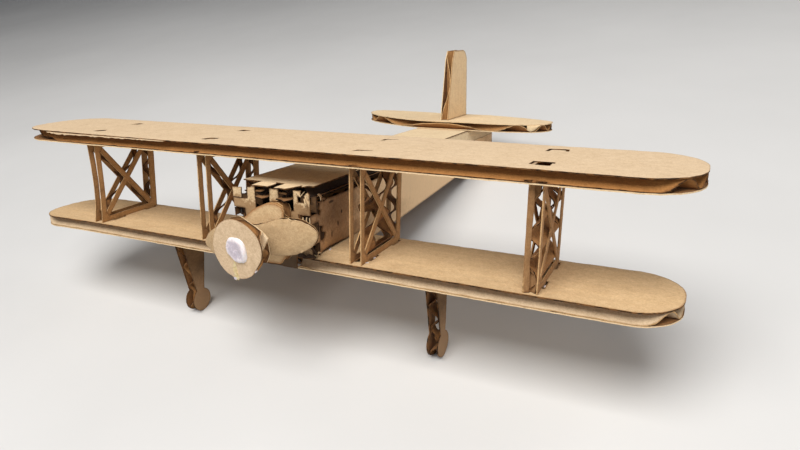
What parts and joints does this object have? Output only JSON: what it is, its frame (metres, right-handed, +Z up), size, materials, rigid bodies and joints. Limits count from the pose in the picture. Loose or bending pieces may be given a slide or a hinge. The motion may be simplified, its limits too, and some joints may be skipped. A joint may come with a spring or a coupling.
{
  "type": "rubber band plane",
  "caption": "Toy biplane cut from corrugated card, with strut frames between the wings, a boxed fuselage and a propeller turned by a rubber band.",
  "frame": {"origin": "on the ground, under the middle of the bounding box, with the aeroplane standing on both round feet and its tail", "axes": "+X towards the right wing tip as seen from the front, +Y from the nose towards the tail along the ground, +Z up; the wings sit nose-up at the ground attitude"},
  "size_m": [0.2306, 0.1857, 0.0664],
  "materials": {
    "card": "matte",
    "wire": "satin",
    "glue": "satin",
    "tube": "satin",
    "rubber": "matte"
  },
  "bodies": {
    "airframe": {"upper_wing": "card", "lower_wing_left": "card", "lower_wing_right": "card", "strut_frame_left_outer": "card", "strut_frame_left_inner": "card", "strut_frame_right_inner": "card", "strut_frame_right_outer": "card", "fuselage_side_left": "card", "fuselage_side_right": "card", "deck": "card", "belly_plate": "card", "nose_plate": "card", "bearing_plate": "card", "rear_former": "card", "stabiliser": "card", "fin": "card", "leg_left": "card", "leg_right": "card", "bearing_tube": "tube", "tail_hook": "wire", "rubber_band": "rubber"},
    "propeller": {"propeller_blades": "card", "hub_spacer": "card", "hub_disc": "card", "prop_shaft": "wire", "hub_glue": "glue"}
  },
  "joints": [
    {"name": "propeller_spin", "type": "hinge", "parent": "airframe", "child": "propeller", "pos_m": [0, -0.07836, 0.04248], "axis": [0, -0.9766, 0.2152], "continuous": true, "deforming": ["rubber_band"]}
  ]
}
